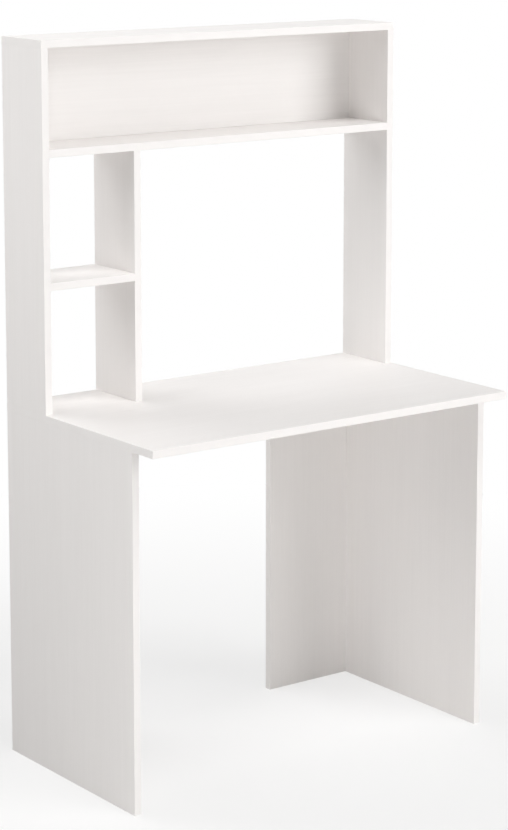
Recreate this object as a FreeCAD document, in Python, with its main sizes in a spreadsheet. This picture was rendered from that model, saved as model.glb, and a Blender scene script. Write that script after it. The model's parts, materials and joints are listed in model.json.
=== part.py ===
import FreeCAD, Part
import math
import os
from types import SimpleNamespace

import Sketcher

# Student desk with an open hutch: flat-pack boards with plastic edging, held by cams, dowels and screws.
# Millimetres. X runs from the sitter's left to right, Y from the sitter to the wall and Z up.
# The origin is on the floor, under the middle of the desktop's outline.

SIZES = {
    # The whole desk
    "overall_width": 900,
    "overall_height": 1500,
    "board": 16,
    "edge_band": 1,
    "band_round": 0.6,
    # The desk below
    "desk_depth": 530,
    "desk_overhang": 70,
    "leg_height": 730,
    "brace_width": 218,
    # The hutch above
    "hutch_depth": 150,
    "box_clear_height": 202,
    "cubby_clear_width": 202,
    # Where the fasteners stand, from the ends of each joint
    "leg_fix_inset": 96,
    "brace_fix_inset": 96,
    "hutch_fix_inset": 37,
    "back_fix_inset": 150,
    "dowel_pitch": 32,
    # Fits: gaps round fasteners and at their ends, and what is left of a board under a blind bore
    "fit_clearance": 0.1,
    "end_clearance": 0.5,
    "face_floor": 4.5,
    "cam_floor": 3,
    # Cam locks and the bolts that they pull
    "cam_diameter": 15,
    "cam_reach": 34,
    "cam_slot_length": 9,
    "cam_slot_width": 1.8,
    "cam_slot_depth": 2.5,
    "bolt_thread_diameter": 5,
    "bolt_collar_diameter": 7.4,
    "bolt_collar_height": 2,
    "bolt_shank_diameter": 5.4,
    "bolt_neck_diameter": 4,
    "bolt_neck_length": 3,
    "bolt_head_diameter": 6.6,
    "bolt_head_height": 4,
    "bolt_clearance": 0.3,
    # Beech dowels
    "dowel_diameter": 8,
    "dowel_length": 30,
    "dowel_chamfer": 1,
    # Screws with a wide shank, and the stick-on covers of their heads
    "screw_length": 50,
    "screw_head_diameter": 10,
    "screw_head_height": 4,
    "screw_shank_diameter": 7,
    "screw_core_diameter": 5,
    "screw_tip_length": 4,
    "screw_hex": 4,
    "screw_hex_depth": 3,
    "cover_lap": 2,
    "cover_thickness": 0.4,
}

doc = FreeCAD.newDocument("StudentDesk")
sheet = doc.addObject("Spreadsheet::Sheet", "Sizes")
for row, (alias, millimetres) in enumerate(SIZES.items(), start=1):
    sheet.set(f"A{row}", alias)
    sheet.set(f"B{row}", str(millimetres))
    sheet.setAlias(f"B{row}", alias)
doc.recompute()


class Size:
    """A length as a formula of spreadsheet cells: what is bound to it follows the cells."""

    def __init__(self, formula):
        self.formula = formula

    def __add__(self, other):
        return Size(f"({self.formula} + {other.formula})")

    def __sub__(self, other):
        return Size(f"({self.formula} - {other.formula})")

    def __mul__(self, factor):
        return Size(f"({self.formula} * {factor})")

    def __truediv__(self, divisor):
        return Size(f"({self.formula} / {divisor})")

    def __neg__(self):
        return Size(f"(-1 * {self.formula})")

    def smaller(self, other):
        return Size(f"min({self.formula}; {other.formula})")

    @property
    def value(self):
        return sheet.evalExpression(self.formula)

    def bind(self, item, name):
        item.setExpression(name, self.formula)


s = SimpleNamespace(**{alias: Size(f"Sizes.{alias}") for alias in SIZES})
ZERO = Size("0")

# Blind bores in a board's face, and what they hold
face_bore_depth = s.board - s.face_floor
face_hold = face_bore_depth - s.end_clearance
cam_bore_depth = s.board - s.cam_floor
cam_height = cam_bore_depth - s.end_clearance

# Axes by number, and the origin plane that is square to each.
# A sketch on the XZ plane faces -Y, on the other two it faces + along its axis.
X, Y, Z = range(3)
PLANE_ROLES = ("YZ_Plane", "XZ_Plane", "XY_Plane")
SKETCH_FACES = (1, -1, 1)

# Points of a sketch's geometry, as its constraints number them
START, END, CENTRE = range(1, 4)
SKETCH_ORIGIN = (-1, START)

# A fillet on the edging takes up no more than this much of the band
FILLET_LIMIT = 0.8

sub_parts = []


def direction(axis, sense):
    """The unit vector along an axis, + or - by sense."""
    return FreeCAD.Vector(*(sense if number == axis else 0 for number in range(3)))


def put(item, base):
    """Binds the place of an object's own origin."""
    for name, size in zip("xyz", base):
        size.bind(item, f"Placement.Base.{name}")


def sketch_on(body, axis, level, name):
    """An empty sketch square to an axis, at a level along it from the body's own origin."""
    sketch = body.newObject("Sketcher::SketchObject", name)
    plane = next(item for item in body.Origin.OriginFeatures if item.Role == PLANE_ROLES[axis])
    sketch.AttachmentSupport = [(plane, "")]
    sketch.MapMode = "FlatFace"
    (level * SKETCH_FACES[axis]).bind(sketch, "AttachmentOffset.Base.z")
    return sketch


def constrain(sketch, size, kind, *points):
    """Adds a constraint of length and binds it."""
    number = sketch.addConstraint(Sketcher.Constraint(kind, *points, size.value))
    size.bind(sketch, f"Constraints[{number}]")


def pin(sketch, geometry, point, place):
    """Holds one point of a sketch at its two distances from the sketch's origin."""
    for kind, size in zip(("DistanceX", "DistanceY"), place):
        constrain(sketch, size, kind, *SKETCH_ORIGIN, geometry, point)


def polygon(sketch, places):
    """A closed outline of straight lines through pinned corners."""
    corners = [FreeCAD.Vector(across.value, up.value, 0) for across, up in places]
    lines = [sketch.addGeometry(Part.LineSegment(corner, corners[(number + 1) % len(corners)]))
             for number, corner in enumerate(corners)]
    for number, line in enumerate(lines):
        sketch.addConstraint(Sketcher.Constraint("Coincident", line, START, lines[number - 1], END))
        pin(sketch, line, START, places[number])


def circle(sketch, place, diameter):
    """A circle round a pinned centre."""
    centre = FreeCAD.Vector(place[0].value, place[1].value, 0)
    ring = sketch.addGeometry(Part.Circle(centre, FreeCAD.Vector(0, 0, 1), diameter.value / 2))
    constrain(sketch, diameter, "Diameter", ring)
    pin(sketch, ring, CENTRE, place)


def pocket(body, sketch, axis, sense, depth):
    """Cuts a sketch into a body, along its axis in the given sense."""
    cut = body.newObject("PartDesign::Pocket", f"{sketch.Name}_cut")
    cut.Profile = sketch
    cut.Reversed = sense == SKETCH_FACES[axis]
    depth.bind(cut, "Length")
    return cut


def block(label, low, high):
    """A body with a rectangular pad that reaches from one corner of the desk's frame to another."""
    body = doc.addObject("PartDesign::Body", label)
    put(body, low)
    width, depth, height = (far - near for near, far in zip(low, high))
    outline = sketch_on(body, Z, ZERO, f"{label}_outline")
    polygon(outline, [(ZERO, ZERO), (width, ZERO), (width, depth), (ZERO, depth)])
    pad = body.newObject("PartDesign::Pad", f"{label}_pad")
    pad.Profile = outline
    height.bind(pad, "Length")
    return body


def edge_strip(label, low, high, thickness_axis, outer_axis, outer_sense):
    """One strip of edging, with its two long outer edges eased."""
    body = block(label, low, high)
    doc.recompute()
    pad = body.Tip
    box = pad.Shape.BoundBox
    corner = (box.XMax, box.YMax, box.ZMax) if outer_sense > 0 else (box.XMin, box.YMin, box.ZMin)
    long_axis = ({X, Y, Z} - {thickness_axis, outer_axis}).pop()
    eased = []
    for number, edge in enumerate(pad.Shape.Edges, start=1):
        runs_along = math.isclose(abs(edge.tangentAt(edge.FirstParameter)[long_axis]), 1)
        is_outside = math.isclose(edge.CenterOfMass[outer_axis], corner[outer_axis], abs_tol=1e-6)
        if runs_along and is_outside:
            eased.append(f"Edge{number}")
    fillet = body.newObject("PartDesign::Fillet", f"{label}_eased")
    fillet.Base = (pad, eased)
    s.band_round.smaller(s.edge_band * FILLET_LIMIT).bind(fillet, "Radius")
    return body


def group(label, items):
    """A sub-part of several separate solids."""
    compound = doc.addObject("Part::Compound", label)
    compound.Links = items
    sub_parts.append(compound)


class Board:
    """A board with its edging: its outer box includes the bands, which are listed by axis and sense."""

    def __init__(self, label, thickness_axis, low, high, banded=()):
        low, high = list(low), list(high)
        strips = []
        for number, (axis, sense) in enumerate(banded, start=1):
            strip_low, strip_high = list(low), list(high)
            if sense < 0:
                low[axis] = strip_high[axis] = low[axis] + s.edge_band
            else:
                high[axis] = strip_low[axis] = high[axis] - s.edge_band
            name = f"{label}_band_{number}"
            strips.append(edge_strip(name, strip_low, strip_high, thickness_axis, axis, sense))
        self.low = low
        self.bores = 0
        self.body = block(label, low, high)
        sub_parts.append(self.body)
        if strips:
            group(f"{label}_edging", strips)

    def drill(self, axis, sense, level, spots, diameter, depth):
        """Round bores that enter at a level of the desk's frame and run along an axis."""
        self.bores += 1
        sketch = sketch_on(self.body, axis, level - self.low[axis], f"{self.body.Name}_bore_{self.bores}")
        others = [other for other in (X, Y, Z) if other != axis]
        for spot in spots:
            circle(sketch, [spot[other] - self.low[other] for other in others], diameter)
        pocket(self.body, sketch, axis, sense, depth)


def turned(label, profile):
    """A body turned about Z from half its outline, as pairs of diameter and height."""
    body = doc.addObject("PartDesign::Body", label)
    sketch = sketch_on(body, Y, ZERO, f"{label}_profile")
    polygon(sketch, [(diameter / 2, height) for diameter, height in profile])
    turn = body.newObject("PartDesign::Revolution", f"{label}_turned")
    turn.Profile = sketch
    turn.ReferenceAxis = (sketch, ["V_Axis"])
    turn.Angle = 360
    return body


def make_cam_lock():
    """A cam: its face is at Z = 0, its barrel hangs below, and the bolt comes in from +X at mid-board."""
    barrel = s.cam_diameter - s.fit_clearance * 2
    body = turned("cam_lock", [(ZERO, -cam_height), (barrel, -cam_height), (barrel, ZERO), (ZERO, ZERO)])
    overrun = s.bolt_head_height / 2 + s.end_clearance
    channel = sketch_on(body, X, -overrun, "cam_channel")
    circle(channel, (ZERO, -s.board / 2), s.bolt_head_diameter + s.end_clearance * 2)
    pocket(body, channel, X, 1, overrun + s.cam_diameter)
    long, wide = s.cam_slot_length / 2, s.cam_slot_width / 2
    slot = sketch_on(body, Z, ZERO, "cam_slot")
    polygon(slot, [(-long, -wide), (long, -wide), (long, wide), (-long, wide)])
    cut = pocket(body, slot, Z, -1, s.cam_slot_depth)
    cross = body.newObject("PartDesign::PolarPattern", "cam_cross")
    cross.Originals = [cut]
    cross.Axis = (slot, ["N_Axis"])
    cross.Angle = 90
    cross.Occurrences = 2
    body.Tip = cross
    return body


def make_cam_bolt():
    """A cam's bolt: it stands on the tip of its thread, and its head ends just past the cam's centre."""
    seat = face_hold
    shank = seat + s.bolt_collar_height
    end = seat + s.cam_reach + s.bolt_head_height / 2
    head = end - s.bolt_head_height
    neck = head - s.bolt_neck_length
    return turned("cam_bolt", [
        (ZERO, ZERO), (s.bolt_thread_diameter, ZERO), (s.bolt_thread_diameter, seat),
        (s.bolt_collar_diameter, seat), (s.bolt_collar_diameter, shank), (s.bolt_shank_diameter, shank),
        (s.bolt_shank_diameter, neck), (s.bolt_neck_diameter, neck), (s.bolt_neck_diameter, head),
        (s.bolt_head_diameter, head), (s.bolt_head_diameter, end), (ZERO, end)])


def make_dowel():
    """A dowel with chamfered ends, standing on one of them."""
    wide, long, chamfer = s.dowel_diameter, s.dowel_length, s.dowel_chamfer
    narrow = wide - chamfer * 2
    return turned("dowel", [
        (ZERO, ZERO), (narrow, ZERO), (wide, chamfer), (wide, long - chamfer), (narrow, long), (ZERO, long)])


def make_screw():
    """A screw that points up from the face of its head: wide shank through a board, core into the next."""
    body = turned("screw", [
        (ZERO, ZERO), (s.screw_head_diameter, ZERO), (s.screw_head_diameter, s.screw_head_height),
        (s.screw_shank_diameter, s.screw_head_height), (s.screw_shank_diameter, s.board),
        (s.screw_core_diameter, s.board), (s.screw_core_diameter, s.screw_length - s.screw_tip_length),
        (ZERO, s.screw_length)])
    corner = s.screw_hex / math.sqrt(3)
    turns = [math.radians(60 * number + 30) for number in range(6)]
    socket = sketch_on(body, Z, ZERO, "screw_socket")
    polygon(socket, [(corner * math.cos(turn), corner * math.sin(turn)) for turn in turns])
    pocket(body, socket, Z, 1, s.screw_hex_depth)
    return body


def make_screw_cover():
    """A thin round cover that is stuck over the head of a screw."""
    wide, thick = s.screw_head_diameter + s.cover_lap * 2, s.cover_thickness
    return turned("screw_cover", [(ZERO, ZERO), (wide, ZERO), (wide, thick), (ZERO, thick)])


cam_lock, cam_bolt = make_cam_lock(), make_cam_bolt()
dowel, screw, screw_cover = make_dowel(), make_screw(), make_screw_cover()
fasteners = {}


def add_fastener(label, master, base, rotation):
    """A copy of a fastener, with its own origin at base, that joins the others under the same label."""
    link = doc.addObject("App::Link", f"{label}_copy")
    link.LinkedObject = master
    link.LinkTransform = False
    link.Placement = FreeCAD.Placement(FreeCAD.Vector(), rotation)
    put(link, base)
    fasteners.setdefault(label, []).append(link)


class ButtJoint:
    """The edge of one board against the face of another, in a plane square to an axis.

    The sense says which way the edge board lies from the face board. Spots are places in the
    desk's frame, of which the joint's own axis is not used.
    """

    def __init__(self, label, face_board, edge_board, axis, sense, plane):
        self.label = label
        self.face_board, self.edge_board = face_board, edge_board
        self.axis, self.sense, self.plane = axis, sense, plane
        self.into_edge = FreeCAD.Rotation(direction(Z, 1), direction(axis, sense))
        self.into_face = FreeCAD.Rotation(direction(Z, 1), direction(axis, -sense))

    def along(self, spot, distance):
        """A spot moved to a distance from the joint's plane, into the edge board."""
        moved = list(spot)
        moved[self.axis] = self.plane + distance * self.sense
        return moved

    def add_dowels(self, spots):
        """Dowels half in the face and half in the edge."""
        bore = s.dowel_diameter + s.fit_clearance * 2
        edge_depth = s.dowel_length - face_hold + s.end_clearance
        self.face_board.drill(self.axis, -self.sense, self.plane, spots, bore, face_bore_depth)
        self.edge_board.drill(self.axis, self.sense, self.plane, spots, bore, edge_depth)
        for spot in spots:
            add_fastener(f"{self.label}_dowels", dowel, self.along(spot, -face_hold), self.into_edge)

    def add_screws(self, spots):
        """Screws through the face board, with their heads flush in its far side."""
        outside = self.plane - s.board * self.sense
        head_bore, shank_bore, core_bore = (
            diameter + s.fit_clearance * 2
            for diameter in (s.screw_head_diameter, s.screw_shank_diameter, s.screw_core_diameter))
        core_depth = s.screw_length - s.board + s.end_clearance
        self.face_board.drill(self.axis, self.sense, outside, spots, head_bore, s.screw_head_height)
        self.face_board.drill(self.axis, self.sense, outside, spots, shank_bore, s.board)
        self.edge_board.drill(self.axis, self.sense, self.plane, spots, core_bore, core_depth)
        for spot in spots:
            add_fastener(f"{self.label}_screws", screw, self.along(spot, -s.board), self.into_edge)

    def add_screw_covers(self, spots):
        """Covers over the heads of the screws at the same spots."""
        for spot in spots:
            head = self.along(spot, -s.board)
            add_fastener(f"{self.label}_screw_covers", screw_cover, head, self.into_face)

    def add_cams(self, spots, cam_axis, cam_sense, cam_level):
        """Cams in one face of the edge board, given by axis, sense and level, and their bolts."""
        thread_bore = s.bolt_thread_diameter + s.fit_clearance * 2
        bolt_bore = s.bolt_collar_diameter + s.bolt_clearance * 2
        self.face_board.drill(self.axis, -self.sense, self.plane, spots, thread_bore, face_bore_depth)
        self.edge_board.drill(self.axis, self.sense, self.plane, spots, bolt_bore, s.cam_reach)
        seats = [self.along(spot, s.cam_reach) for spot in spots]
        self.edge_board.drill(cam_axis, -cam_sense, cam_level, seats, s.cam_diameter, cam_bore_depth)
        towards_bolt, outward = direction(self.axis, -self.sense), direction(cam_axis, cam_sense)
        turn = FreeCAD.Rotation(towards_bolt, FreeCAD.Vector(), outward, "ZXY")
        for spot, seat in zip(spots, seats):
            seat[cam_axis] = cam_level
            add_fastener(f"{self.label}_cam_locks", cam_lock, seat, turn)
            add_fastener(f"{self.label}_cam_bolts", cam_bolt, self.along(spot, -face_hold), self.into_edge)


# Levels and planes of the desk's frame
half_board = s.board / 2
left, right = -s.overall_width / 2, s.overall_width / 2
left_inner, right_inner = left + s.board, right - s.board
front, back = -s.desk_depth / 2, s.desk_depth / 2
leg_front = front + s.desk_overhang
hutch_front = back - s.hutch_depth
floor = ZERO
desk_under = s.leg_height
desk_top = desk_under + s.board
top = s.overall_height
top_under = top - s.board
shelf_top = top_under - s.box_clear_height
shelf_under = shelf_top - s.board
divider_left = left_inner + s.cubby_clear_width
divider_right = divider_left + s.board
cubby_under = (desk_top + shelf_under - s.board) / 2

# Rows that the fasteners stand in: the legs' rear cams are between the screws of the hutch sides above
# them, and the legs' rear dowels are in front of the hutch
back_line = back - half_board
hutch_middle = back - s.hutch_depth / 2
hutch_rows = (hutch_front + s.hutch_fix_inset, back - s.hutch_fix_inset)
leg_rows = (leg_front + s.leg_fix_inset, hutch_middle)
leg_dowel_rows = (leg_rows[0] + s.dowel_pitch, hutch_front - s.dowel_pitch)
brace_rows = (s.brace_fix_inset, desk_under - s.brace_fix_inset)
brace_dowel_rows = (brace_rows[0] + s.dowel_pitch, brace_rows[1] - s.dowel_pitch)

# Edges that show, by axis and sense: a strip that is listed first covers the ends of the later ones
ALL_ROUND = ((Y, -1), (Y, 1), (X, -1), (X, 1))
FRONT_AND_BACK = ((Y, -1), (Y, 1))
LEG_EDGES = ((Z, -1), (Y, -1), (Y, 1))

desktop = Board("desktop", Z, (left, front, desk_under), (right, back, desk_top), ALL_ROUND)
hutch_top = Board("hutch_top", Z, (left, hutch_front, top_under), (right, back, top), ALL_ROUND)


def make_leg(name, outer, inward):
    """A leg under one end of the desktop and the brace behind the knee space that squares it."""
    inner = outer + s.board * inward
    brace_end = inner + s.brace_width * inward
    low_x, high_x = (outer, inner) if inward > 0 else (inner, outer)
    leg = Board(f"{name}_leg_panel", X, (low_x, leg_front, floor), (high_x, back, desk_under), LEG_EDGES)
    low_x, high_x = (inner, brace_end) if inward > 0 else (brace_end, inner)
    brace = Board(
        f"{name}_back_brace", Y, (low_x, back - s.board, floor), (high_x, back, desk_under),
        ((Z, -1), (X, inward)))

    line = outer + half_board * inward
    under_desk = ButtJoint("leg", desktop, leg, Z, -1, desk_under)
    under_desk.add_cams([(line, row, desk_under) for row in leg_rows], X, inward, inner)
    under_desk.add_dowels([(line, row, desk_under) for row in leg_dowel_rows])

    beside_leg = ButtJoint("brace", leg, brace, X, inward, inner)
    beside_leg.add_cams([(inner, back_line, row) for row in brace_rows], Y, 1, back)
    beside_leg.add_dowels([(inner, back_line, row) for row in brace_dowel_rows])
    middle = inner + s.brace_width / 2 * inward
    brace_top = ButtJoint("brace", desktop, brace, Z, -1, desk_under)
    brace_top.add_cams([(middle, back_line, desk_under)], Y, 1, back)
    brace_top.add_dowels([(middle + s.dowel_pitch * inward, back_line, desk_under)])


def make_hutch_side(name, outer, inward):
    """An upright at one end of the hutch, screwed through the desktop from below and the top from above."""
    inner = outer + s.board * inward
    low_x, high_x = (outer, inner) if inward > 0 else (inner, outer)
    side = Board(
        f"hutch_{name}_side", X, (low_x, hutch_front, desk_top), (high_x, back, top_under), FRONT_AND_BACK)
    spots = [(outer + half_board * inward, row, desk_top) for row in hutch_rows]
    ButtJoint("hutch_side", desktop, side, Z, 1, desk_top).add_screws(spots)
    under_top = ButtJoint("top", hutch_top, side, Z, -1, top_under)
    under_top.add_screws(spots)
    under_top.add_screw_covers(spots)
    return side


def make_shelf(label, under, left_upright, left_plane, right_upright, right_plane):
    """A shelf between two uprights: cams in its underside, and a dowel in the middle of each end."""
    shelf = Board(
        label, Z, (left_plane, hutch_front, under), (right_plane, back, under + s.board), FRONT_AND_BACK)
    line = under + half_board
    for upright, sense, plane in ((left_upright, 1, left_plane), (right_upright, -1, right_plane)):
        shelf_end = ButtJoint(label, upright, shelf, X, sense, plane)
        shelf_end.add_cams([(plane, row, line) for row in hutch_rows], Z, -1, under)
        shelf_end.add_dowels([(plane, hutch_middle, line)])
    return shelf


make_leg("left", left, 1)
make_leg("right", right, -1)
left_side = make_hutch_side("left", left, 1)
right_side = make_hutch_side("right", right, -1)
box_shelf = make_shelf("box_shelf", shelf_under, left_side, left_inner, right_side, right_inner)

# Back panel of the box: cams to the sides, screws up through the shelf and dowels into the top
box_back = Board("box_back_panel", Y, (left_inner, back - s.board, shelf_top), (right_inner, back, top_under))
back_middle = shelf_top + s.box_clear_height / 2
for side, sense, plane in ((left_side, 1, left_inner), (right_side, -1, right_inner)):
    beside_box = ButtJoint("box_back", side, box_back, X, sense, plane)
    beside_box.add_cams([(plane, back_line, back_middle)], Y, 1, back)
back_columns = (left_inner + s.back_fix_inset, ZERO, right_inner - s.back_fix_inset)
back_spots = [(column, back_line, shelf_top) for column in back_columns]
ButtJoint("box_back", box_shelf, box_back, Z, 1, shelf_top).add_screws(back_spots)
ButtJoint("box_back", hutch_top, box_back, Z, -1, top_under).add_dowels(back_spots)

# Divider: screws up through the desktop and dowels into the box shelf
divider = Board(
    "hutch_divider", X, (divider_left, hutch_front, desk_top), (divider_right, back, shelf_under),
    FRONT_AND_BACK)
divider_spots = [(divider_left + half_board, row, desk_top) for row in hutch_rows]
ButtJoint("divider", desktop, divider, Z, 1, desk_top).add_screws(divider_spots)
ButtJoint("divider", box_shelf, divider, Z, -1, shelf_under).add_dowels(divider_spots)
make_shelf("cubby_shelf", cubby_under, left_side, left_inner, divider, divider_left)

for label, copies in fasteners.items():
    group(label, copies)
doc.recompute()

for item in doc.Objects:
    if {"Invalid", "Error"} & set(item.State):
        raise RuntimeError(f"{item.Label} failed: {item.State}")
for cut in doc.findObjects("PartDesign::Pocket"):
    if cut.Shape.Volume >= cut.BaseFeature.Shape.Volume:
        raise RuntimeError(f"{cut.Label} cuts nothing")
for part in sub_parts:
    if part.Shape.isNull() or not part.Shape.isValid():
        raise RuntimeError(f"{part.Label} has no valid shape")

os.makedirs("parts", exist_ok=True)
for part in sub_parts:
    part.Shape.exportStep(f"parts/{part.Label}.step")
    print(f"{part.Label}: {len(part.Shape.Solids)} solids, {part.Shape.Volume / 1000:.1f} cm3")
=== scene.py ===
# %% [markdown]
# A white student desk with an open hutch, dressed for a product picture.
#
# The real desk is a flat-pack: boards of chipboard under a white film, thin plastic edging on every edge
# that shows, and cams, dowels and screws inside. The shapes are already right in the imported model, so this
# lesson keeps every one of them and spends its effort on what a model of plain boxes lacks: the film's
# pressed grain, the smoother edging, the metals and the beech of the fasteners, and a soft light that
# shows white on white.

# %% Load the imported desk
import json
import math

import bpy
from mathutils import Euler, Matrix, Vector


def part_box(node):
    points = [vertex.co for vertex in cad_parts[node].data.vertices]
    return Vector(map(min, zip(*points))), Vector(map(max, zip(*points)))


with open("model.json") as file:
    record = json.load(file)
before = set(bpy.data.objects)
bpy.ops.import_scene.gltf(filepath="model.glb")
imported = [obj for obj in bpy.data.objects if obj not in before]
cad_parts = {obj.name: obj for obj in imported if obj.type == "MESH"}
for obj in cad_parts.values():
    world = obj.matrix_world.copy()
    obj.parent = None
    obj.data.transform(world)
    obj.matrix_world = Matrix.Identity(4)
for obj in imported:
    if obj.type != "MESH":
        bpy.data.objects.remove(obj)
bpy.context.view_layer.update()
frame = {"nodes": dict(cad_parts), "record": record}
nodes = frame["nodes"]

# %% [markdown]
# Colours are easiest to judge as sRGB hex values, the way a paint chart or a picture editor gives them.
# Blender's shaders work on linear light, so one function makes the change, and every colour below goes
# through it.


# %% Turn a hex colour into linear light
def linear(hex_colour):
    """Linear red, green, blue and alpha of an sRGB hex colour such as "f5f2f0"."""
    channels = [int(hex_colour[start:start + 2], 16) / 255 for start in (0, 2, 4)]
    return [c / 12.92 if c <= 0.04045 else ((c + 0.055) / 1.055) ** 2.4 for c in channels] + [1.0]


print("mid grey in linear light:", [round(channel, 3) for channel in linear("808080")])

# %% [markdown]
# A material is a small tree of nodes. Each node needs the same three things: a kind, some settings and
# some links from nodes made before it. One function covers all of them: a setting that has the name of a
# property sets that property, and any other setting fills the input of that name or number. A second
# function starts an empty material.
#
# Names read better than numbers, but the Mix node has inputs of the same name for numbers, vectors and
# colours. So the places of its two colours, and of the mixed colour that comes out, are noted here.

# %% Add one node to a tree
COLOUR_A = 6
COLOUR_B = 7
MIXED_COLOUR = 2


def add(tree, kind, settings=None, links=None):
    """A new node with its settings and with other nodes' outputs linked to its inputs."""
    node = tree.nodes.new(kind)
    for name, value in (settings or {}).items():
        if isinstance(name, str) and hasattr(node, name):
            setattr(node, name, value)
        else:
            node.inputs[name].default_value = value
    for name, output in (links or {}).items():
        tree.links.new(output, node.inputs[name])
    return node


def start_material(name):
    """An empty material and its tree."""
    material = bpy.data.materials.new(name)
    material.use_nodes = True
    material.node_tree.nodes.clear()
    return material, material.node_tree


print(f"Mix node: colours go in at {COLOUR_A} and {COLOUR_B}, and the mix comes out at {MIXED_COLOUR}")

# %% [markdown]
# The boards are faced with melamine: a printed paper soaked in resin and pressed hot against an etched
# steel plate. The plate leaves fine straight pores, so the white is not dead flat: it has faint streaks
# along the board and a satin sheen that breaks up a little across them.
#
# The streaks could be drawn with a wave texture, but real pores start and stop. A noise that is stretched
# along the board does that by itself. True pores are about 0.3 mm wide, which is far less than a pixel
# here, so they are drawn 4 mm wide and kept weak. The noise lies in the desk's own frame: boards that
# stand apart get other streaks, and a hutch side carries on those of the leg below it, as boards cut from
# one length of sheet do.

# %% Melamine film, pressed with a straight grain
MM = 0.001
PORE_WIDTH = 4 * MM
PORE_LENGTH = 220 * MM
FLAME_WIDTH = 45 * MM
FLAME_LENGTH = 900 * MM
FLAME_SHARE = 0.35
BOARD_WHITE = "f5f2f0"
BOARD_SHADE = "f2efed"


def stretched(width, length, grain_axis):
    """Noise cycles per metre along X, Y and Z for streaks of that width and length."""
    return [1 / length if axis == grain_axis else 1 / width for axis in range(3)]


def make_melamine(name, grain_axis):
    """Satin white melamine film: near white, a trace warm, with weak streaks along one axis."""
    material, tree = start_material(name)
    place = add(tree, "ShaderNodeTexCoord")
    pore_space = add(tree, "ShaderNodeMapping", {"Scale": stretched(PORE_WIDTH, PORE_LENGTH, grain_axis)},
                     {"Vector": place.outputs["Object"]})
    pores = add(tree, "ShaderNodeTexNoise", {"Scale": 1, "Detail": 3, "Roughness": 0.6},
                {"Vector": pore_space.outputs[0]})
    flame_space = add(tree, "ShaderNodeMapping", {"Scale": stretched(FLAME_WIDTH, FLAME_LENGTH, grain_axis)},
                      {"Vector": place.outputs["Object"]})
    flames = add(tree, "ShaderNodeTexNoise", {"Scale": 1, "Detail": 2, "Distortion": 0.4},
                 {"Vector": flame_space.outputs[0]})
    grain = add(tree, "ShaderNodeMath", {"operation": "MULTIPLY_ADD", 1: FLAME_SHARE},
                {0: flames.outputs[0], 2: pores.outputs[0]})
    depth = add(tree, "ShaderNodeMapRange", {"From Min": 0.45, "From Max": 0.9}, {"Value": grain.outputs[0]})
    colour = add(tree, "ShaderNodeMix",
                 {"data_type": "RGBA", COLOUR_A: linear(BOARD_WHITE), COLOUR_B: linear(BOARD_SHADE)},
                 {"Factor": depth.outputs[0]})
    sheen = add(tree, "ShaderNodeMapRange", {"To Min": 0.46, "To Max": 0.56}, {"Value": depth.outputs[0]})
    relief = add(tree, "ShaderNodeBump", {"Strength": 0.25, "Distance": 0.1 * MM, "invert": True},
                 {"Height": depth.outputs[0]})
    film = add(tree, "ShaderNodeBsdfPrincipled", {"IOR": 1.55},
               {"Base Color": colour.outputs[MIXED_COLOUR],
                "Roughness": sheen.outputs[0], "Normal": relief.outputs[0]})
    add(tree, "ShaderNodeOutputMaterial", {}, {"Surface": film.outputs[0]})
    return material


melamine_lying = make_melamine("melamine_film_grain_across", 0)
melamine_standing = make_melamine("melamine_film_grain_upright", 2)
print("board films:", melamine_lying.name, "and", melamine_standing.name)

# %% [markdown]
# The edging is extruded ABS, glued on as a ribbon, trimmed flush and scraped round. ABS is coloured right
# through, so it stays as white as the film, but it has no pores: it is smoother, and the scraper leaves
# only a fine ripple and a slow wave. The ripple is about 0.5 mm from crest to crest. It is drawn 2 mm
# wide, so that it still breaks up the shine at this distance.
#
# The edging could share the film's material, but then the smooth ribbon would carry the film's pores. A
# material of its own lets each edge catch the light a little more evenly than the face beside it.

# %% ABS edging, extruded and scraped
RIPPLE_WIDTH = 2 * MM
WAVE_LENGTH = 60 * MM


def make_edging():
    """White ABS: smooth, a little glossier than the film, with a slow waviness from the scraper."""
    material, tree = start_material("abs_edging_scraped")
    place = add(tree, "ShaderNodeTexCoord")
    ripple = add(tree, "ShaderNodeTexNoise", {"Scale": 1 / RIPPLE_WIDTH, "Detail": 2},
                 {"Vector": place.outputs["Object"]})
    waves = add(tree, "ShaderNodeTexNoise", {"Scale": 1 / WAVE_LENGTH, "Detail": 1},
                {"Vector": place.outputs["Object"]})
    colour = add(tree, "ShaderNodeMix",
                 {"data_type": "RGBA", COLOUR_A: linear(BOARD_WHITE), COLOUR_B: linear(BOARD_SHADE)},
                 {"Factor": waves.outputs[0]})
    sheen = add(tree, "ShaderNodeMapRange", {"To Min": 0.42, "To Max": 0.52}, {"Value": ripple.outputs[0]})
    relief = add(tree, "ShaderNodeBump", {"Strength": 0.1, "Distance": 0.05 * MM},
                 {"Height": ripple.outputs[0]})
    strip = add(tree, "ShaderNodeBsdfPrincipled", {"IOR": 1.53},
                {"Base Color": colour.outputs[MIXED_COLOUR],
                 "Roughness": sheen.outputs[0], "Normal": relief.outputs[0]})
    add(tree, "ShaderNodeOutputMaterial", {}, {"Surface": strip.outputs[0]})
    return material


abs_edging = make_edging()
print("edging:", abs_edging.name)

# %% [markdown]
# The cams are zinc, cast under pressure and tumbled. A fresh casting is a dull blue-grey metal with a fine
# sandy skin. The skin's grit is about 0.2 mm, drawn 1 mm coarse so that it still breaks up the light at
# this distance.

# %% Zinc, die-cast and tumbled
CAST_GRIT = 1 * MM
CAST_FLOW = 6 * MM


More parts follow.
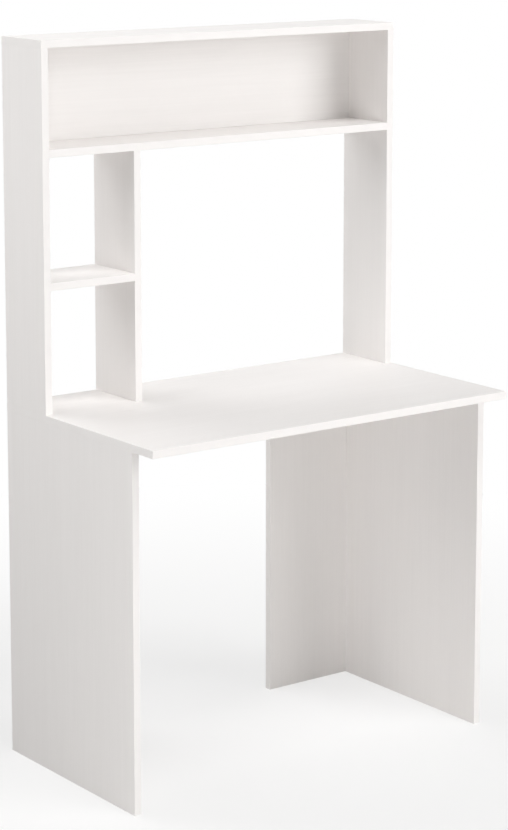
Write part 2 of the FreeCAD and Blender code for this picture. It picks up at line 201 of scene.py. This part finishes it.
def make_cast_zinc():
    """Die-cast zinc: matt blue-grey metal with a sandy skin."""
    material, tree = start_material("zinc_die_cast")
    place = add(tree, "ShaderNodeTexCoord")
    grit = add(tree, "ShaderNodeTexNoise", {"Scale": 1 / CAST_GRIT, "Detail": 3},
               {"Vector": place.outputs["Object"]})
    flow = add(tree, "ShaderNodeTexNoise", {"Scale": 1 / CAST_FLOW, "Detail": 2},
               {"Vector": place.outputs["Object"]})
    colour = add(tree, "ShaderNodeMix",
                 {"data_type": "RGBA", COLOUR_A: linear("b4b7ba"), COLOUR_B: linear("95989c")},
                 {"Factor": flow.outputs[0]})
    sheen = add(tree, "ShaderNodeMapRange", {"To Min": 0.38, "To Max": 0.58}, {"Value": grit.outputs[0]})
    relief = add(tree, "ShaderNodeBump", {"Strength": 0.3, "Distance": 0.1 * MM}, {"Height": grit.outputs[0]})
    metal = add(tree, "ShaderNodeBsdfPrincipled", {"Metallic": 1},
                {"Base Color": colour.outputs[MIXED_COLOUR],
                 "Roughness": sheen.outputs[0], "Normal": relief.outputs[0]})
    add(tree, "ShaderNodeOutputMaterial", {}, {"Surface": metal.outputs[0]})
    return material


cast_zinc = make_cast_zinc()
print("cams:", cast_zinc.name)

# %% [markdown]
# The bolts and screws are steel wire, cold-headed and plated with bright zinc. The plating is paler and
# shinier than the castings, and its passivation leaves a faint cloud of blue and straw from place to
# place.

# %% Steel, zinc-plated
PLATING_CLOUD = 4 * MM


def make_plated_steel():
    """Zinc-plated steel: a pale, fairly bright metal with weak clouds of blue and straw."""
    material, tree = start_material("steel_zinc_plated")
    place = add(tree, "ShaderNodeTexCoord")
    clouds = add(tree, "ShaderNodeTexNoise", {"Scale": 1 / PLATING_CLOUD, "Detail": 2},
                 {"Vector": place.outputs["Object"]})
    colour = add(tree, "ShaderNodeMix",
                 {"data_type": "RGBA", COLOUR_A: linear("c6cbd0"), COLOUR_B: linear("d0ccc0")},
                 {"Factor": clouds.outputs[0]})
    sheen = add(tree, "ShaderNodeMapRange", {"To Min": 0.22, "To Max": 0.36}, {"Value": clouds.outputs[0]})
    metal = add(tree, "ShaderNodeBsdfPrincipled", {"Metallic": 1},
                {"Base Color": colour.outputs[MIXED_COLOUR], "Roughness": sheen.outputs[0]})
    add(tree, "ShaderNodeOutputMaterial", {}, {"Surface": metal.outputs[0]})
    return material


plated_steel = make_plated_steel()
print("bolts and screws:", plated_steel.name)

# %% [markdown]
# The dowels are turned beech with nothing on it: a warm tan wood, dull, with short dark flecks where the
# rays of the timber are cut. They are out of sight in their bores, but the desk can be taken apart, so
# they get their own wood.

# %% Beech, turned and left raw
FLECK_WIDTH = 0.6 * MM
FLECK_LENGTH = 3 * MM


def make_beech():
    """Raw turned beech: dull tan with short darker flecks."""
    material, tree = start_material("beech_turned_raw")
    place = add(tree, "ShaderNodeTexCoord")
    fleck_space = add(tree, "ShaderNodeMapping", {"Scale": stretched(FLECK_WIDTH, FLECK_LENGTH, 2)},
                      {"Vector": place.outputs["Object"]})
    flecks = add(tree, "ShaderNodeTexNoise", {"Scale": 1, "Detail": 2}, {"Vector": fleck_space.outputs[0]})
    fleck = add(tree, "ShaderNodeMapRange", {"From Min": 0.5, "From Max": 0.7}, {"Value": flecks.outputs[0]})
    colour = add(tree, "ShaderNodeMix",
                 {"data_type": "RGBA", COLOUR_A: linear("d8b68c"), COLOUR_B: linear("b58a5c")},
                 {"Factor": fleck.outputs[0]})
    sheen = add(tree, "ShaderNodeMapRange", {"To Min": 0.6, "To Max": 0.72}, {"Value": fleck.outputs[0]})
    relief = add(tree, "ShaderNodeBump", {"Strength": 0.2, "Distance": 0.05 * MM},
                 {"Height": flecks.outputs[0]})
    wood = add(tree, "ShaderNodeBsdfPrincipled", {"IOR": 1.54},
               {"Base Color": colour.outputs[MIXED_COLOUR],
                "Roughness": sheen.outputs[0], "Normal": relief.outputs[0]})
    add(tree, "ShaderNodeOutputMaterial", {}, {"Surface": wood.outputs[0]})
    return material


beech = make_beech()
print("dowels:", beech.name)

# %% [markdown]
# The screws in the hutch's top hide under stick-on covers, punched from a PVC film that is printed to match
# the boards. Pressed on by thumb, the film lies almost flat and has an even matt face with a fine pebble.
# The pebble is about 0.4 mm, drawn three times as coarse so that it shows at all.

# %% PVC cover film, printed and pebbled
PEBBLE = 1.2 * MM


def make_cover_film():
    """White PVC film: matt, with a fine pebble."""
    material, tree = start_material("pvc_cover_film")
    place = add(tree, "ShaderNodeTexCoord")
    pebbles = add(tree, "ShaderNodeTexNoise", {"Scale": 1 / PEBBLE, "Detail": 1},
                  {"Vector": place.outputs["Object"]})
    colour = add(tree, "ShaderNodeMix",
                 {"data_type": "RGBA", COLOUR_A: linear("f4f1ef"), COLOUR_B: linear("f0edeb")},
                 {"Factor": pebbles.outputs[0]})
    sheen = add(tree, "ShaderNodeMapRange", {"To Min": 0.45, "To Max": 0.55}, {"Value": pebbles.outputs[0]})
    relief = add(tree, "ShaderNodeBump", {"Strength": 0.2, "Distance": 0.05 * MM},
                 {"Height": pebbles.outputs[0]})
    film = add(tree, "ShaderNodeBsdfPrincipled", {"IOR": 1.53},
               {"Base Color": colour.outputs[MIXED_COLOUR],
                "Roughness": sheen.outputs[0], "Normal": relief.outputs[0]})
    add(tree, "ShaderNodeOutputMaterial", {}, {"Surface": film.outputs[0]})
    return material


cover_film = make_cover_film()
print("screw covers:", cover_film.name)

# %% [markdown]
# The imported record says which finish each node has. Only the boards need one more fact: a board's grain
# runs along its longer side, as a saw cuts it from the sheet, so the lying boards and the standing ones
# take different films.

# %% Give every node its finish
FINISHES = {
    "white_edging": abs_edging,
    "zinc_cam": cast_zinc,
    "plated_steel": plated_steel,
    "beech": beech,
    "white_cover": cover_film,
}


def finish_of(node, slot):
    """The material for a node, by the record's slot and, for a board, by its longer side."""
    if slot != "white_melamine":
        return FINISHES[slot]
    low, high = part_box(node)
    return melamine_standing if high.z - low.z > high.x - low.x else melamine_lying


dressed = {}
for part in frame["record"]["subparts"]:
    material = finish_of(part["node"], part["material_slot"])
    mesh = nodes[part["node"]].data
    mesh.materials.clear()
    mesh.materials.append(material)
    dressed.setdefault(material.name, []).append(part["node"])
for name, wearers in dressed.items():
    print(f"{name}: {len(wearers)} nodes")

# %% [markdown]
# The desk stands on a plain pale floor that runs out of sight into white. A far bigger floor would show a
# horizon, and a curved backdrop would have to follow the camera. Here the floor is an ordinary matt
# surface near the desk, where the shadow falls, and turns into plain white with distance. Only what looks
# at it sees that white, straight on or in a reflection: it sheds no light. Its paint is paler to the eye
# than to the light too, so that the floor stays pale without lighting up the undersides.

# %% Floor
FLOOR_HALF = 9.0
FADE_START = 0.5
FADE_END = 2.2
SHADOW_SHARE = 0.35
PLAIN_WHITE = "ffffff"
FLOOR_TO_LIGHT = "d2d1d0"
FLOOR_TO_EYE = "f2f1f0"


def looked_at(tree):
    """An output that is 1 where the eye looks, straight on or in a reflection, and 0 for shed light."""
    seen = add(tree, "ShaderNodeLightPath")
    mirrored = add(tree, "ShaderNodeMath", {"operation": "MAXIMUM"},
                   {0: seen.outputs["Is Glossy Ray"], 1: seen.outputs["Is Transmission Ray"]})
    either = add(tree, "ShaderNodeMath", {"operation": "MAXIMUM"},
                 {0: seen.outputs["Is Camera Ray"], 1: mirrored.outputs[0]})
    return either.outputs[0]


def make_floor_paint():
    """Pale matt floor that turns to plain white away from the desk, for the eye and for reflections."""
    material, tree = start_material("floor_pale_matt")
    eye = looked_at(tree)
    place = add(tree, "ShaderNodeTexCoord")
    distance = add(tree, "ShaderNodeVectorMath", {"operation": "LENGTH"}, {0: place.outputs["Object"]})
    fade = add(tree, "ShaderNodeMapRange",
               {"interpolation_type": "SMOOTHSTEP", "From Min": FADE_START, "From Max": FADE_END,
                "To Min": 1 - SHADOW_SHARE, "To Max": 1},
               {"Value": distance.outputs["Value"]})
    share = add(tree, "ShaderNodeMath", {"operation": "MULTIPLY"}, {0: fade.outputs[0], 1: eye})
    colour = add(tree, "ShaderNodeMix",
                 {"data_type": "RGBA", COLOUR_A: linear(FLOOR_TO_LIGHT), COLOUR_B: linear(FLOOR_TO_EYE)},
                 {"Factor": eye})
    matt = add(tree, "ShaderNodeBsdfDiffuse", {}, {"Color": colour.outputs[MIXED_COLOUR]})
    white = add(tree, "ShaderNodeEmission", {"Color": linear(PLAIN_WHITE), "Strength": 1})
    both = add(tree, "ShaderNodeMixShader", {},
               {0: share.outputs[0], 1: matt.outputs[0], 2: white.outputs[0]})
    add(tree, "ShaderNodeOutputMaterial", {}, {"Surface": both.outputs[0]})
    return material


corners = [(-1, -1), (1, -1), (1, 1), (-1, 1)]
floor_mesh = bpy.data.meshes.new("floor")
floor_mesh.from_pydata([(x * FLOOR_HALF, y * FLOOR_HALF, 0) for x, y in corners], [], [range(4)])
floor_mesh.materials.append(make_floor_paint())
floor = bpy.data.objects.new("floor", floor_mesh)
bpy.context.scene.collection.objects.link(floor)
print(f"floor {2 * FLOOR_HALF:.0f} m wide, matt to {FADE_START} m from the desk and white from {FADE_END} m")

# %% [markdown]
# Behind the floor there is only the world. To the eye, and in reflections, it is plain white. For lighting
# it is the pale room round a studio set: it fills the shadows evenly from all sides, so no face of the
# desk goes dark.

# %% World
ROOM_LIGHT = 0.12

world = bpy.data.worlds.new("studio_room")
bpy.context.scene.world = world
world.use_nodes = True
sky = world.node_tree
sky.nodes.clear()
room = add(sky, "ShaderNodeBackground", {"Color": linear(PLAIN_WHITE), "Strength": ROOM_LIGHT})
white = add(sky, "ShaderNodeBackground", {"Color": linear(PLAIN_WHITE), "Strength": 1})
both = add(sky, "ShaderNodeMixShader", {}, {0: looked_at(sky), 1: room.outputs[0], 2: white.outputs[0]})
add(sky, "ShaderNodeOutputWorld", {}, {"Surface": both.outputs[0]})
print(f"{world.name}: sheds {ROOM_LIGHT} of the white that the eye sees")

# %% [markdown]
# In the picture the fronts are the brightest faces, the box's back has a soft shadow at its right end,
# faces that look left are a mid grey that falls off towards the floor, and the tops are nearly white. So a
# large softbox stands in front on the right, and another hangs high in front, far off, for the tops. A low
# one beside the camera reaches under the desktop, and a weak low one behind on the left shines through the
# knee space onto the right leg, as a lit backdrop would. One high behind on the left lights the back.
#
# The last two have a grid, as a studio uses to keep light off what should not get it: a narrow one on the
# left shines past the left leg into the knee space and keeps off the box above it, and a wider one beside
# the hutch makes the outer left side fall off downwards.
#
# All are wide, because small lamps would draw hard shadows on white boards. They stay just weak enough for
# the brightest edges to keep a trace of colour.

# %% Softboxes
DESK_MIDDLE = (0, 0, 0.85)
RIGHT_LEG = (0.43, -0.3, 0.2)
HUTCH_LEFT = (-0.45, 0.15, 1.3)
NO_GRID = 180


def hang_softbox(name, azimuth, elevation, distance, size, watts, aim=DESK_MIDDLE, beam=NO_GRID):
    """A square lamp that looks at its aim, with angles in degrees and the azimuth from straight in front."""
    turn, rise = math.radians(azimuth), math.radians(elevation)
    away = Vector((math.sin(turn) * math.cos(rise), -math.cos(turn) * math.cos(rise), math.sin(rise)))
    lamp = bpy.data.lights.new(name, "AREA")
    lamp.shape = "SQUARE"
    lamp.size = size
    lamp.energy = watts
    lamp.spread = math.radians(beam)
    lamp.color = linear(PLAIN_WHITE)[:3]
    softbox = bpy.data.objects.new(name, lamp)
    softbox.location = Vector(aim) + away * distance
    softbox.rotation_euler = (-away).to_track_quat("-Z", "Y").to_euler()
    softbox.visible_camera = False
    bpy.context.scene.collection.objects.link(softbox)
    print(f"{name}: {watts} W, {size} m wide, at {[round(place, 2) for place in softbox.location]}")


hang_softbox("front_right_softbox", azimuth=35, elevation=18, distance=6.0, size=3.6, watts=183)
hang_softbox("front_overhead_softbox", azimuth=0, elevation=64, distance=9.0, size=3.5, watts=290)
hang_softbox("low_front_softbox", azimuth=-36, elevation=-2, distance=5.0, size=1.3, watts=48)
hang_softbox("low_back_softbox", azimuth=-116, elevation=-2, distance=5.0, size=1.3, watts=10)
hang_softbox("back_left_softbox", azimuth=-150, elevation=44, distance=6.0, size=4.5, watts=168)
hang_softbox("knee_space_softbox", azimuth=-62, elevation=4, distance=3.5, size=1.0, watts=0.7,
             aim=RIGHT_LEG, beam=26)
hang_softbox("hutch_left_softbox", azimuth=-90, elevation=25, distance=2.2, size=1.0, watts=1.95,
             aim=HUTCH_LEFT, beam=60)

# %% [markdown]
# The camera stands at head height, in front of the desk's left corner, with a long lens. The picture's
# uprights are almost parallel, which a view camera gets by staying level and sliding its lens down. Here
# that slide is a fifth of the frame, and a slight tilt does the rest: with more slide the desk would leave
# the frame when seen from elsewhere.

# %% Camera
FRAME_HEIGHT = 830
FOCAL_PIXELS = 2504.6
SENSOR = 36
TURN = math.radians(36.63)
TILT = math.radians(8.9)
LENS_SLIDE = -0.2
STAND = (-3.0507, -4.0846, 1.8558)

view = bpy.data.cameras.new("picture_camera")
view.sensor_width = SENSOR
view.lens = FOCAL_PIXELS / FRAME_HEIGHT * SENSOR
view.shift_y = LENS_SLIDE
camera = bpy.data.objects.new("picture_camera", view)
camera.location = STAND
camera.rotation_euler = Euler((math.pi / 2 - TILT, 0, -TURN))
bpy.context.scene.collection.objects.link(camera)
bpy.context.scene.camera = camera
bpy.context.scene.view_settings.view_transform = "Standard"
print(f"lens {view.lens:.1f} mm, turned {math.degrees(TURN):.1f} and tilted {math.degrees(TILT):.1f} degrees")
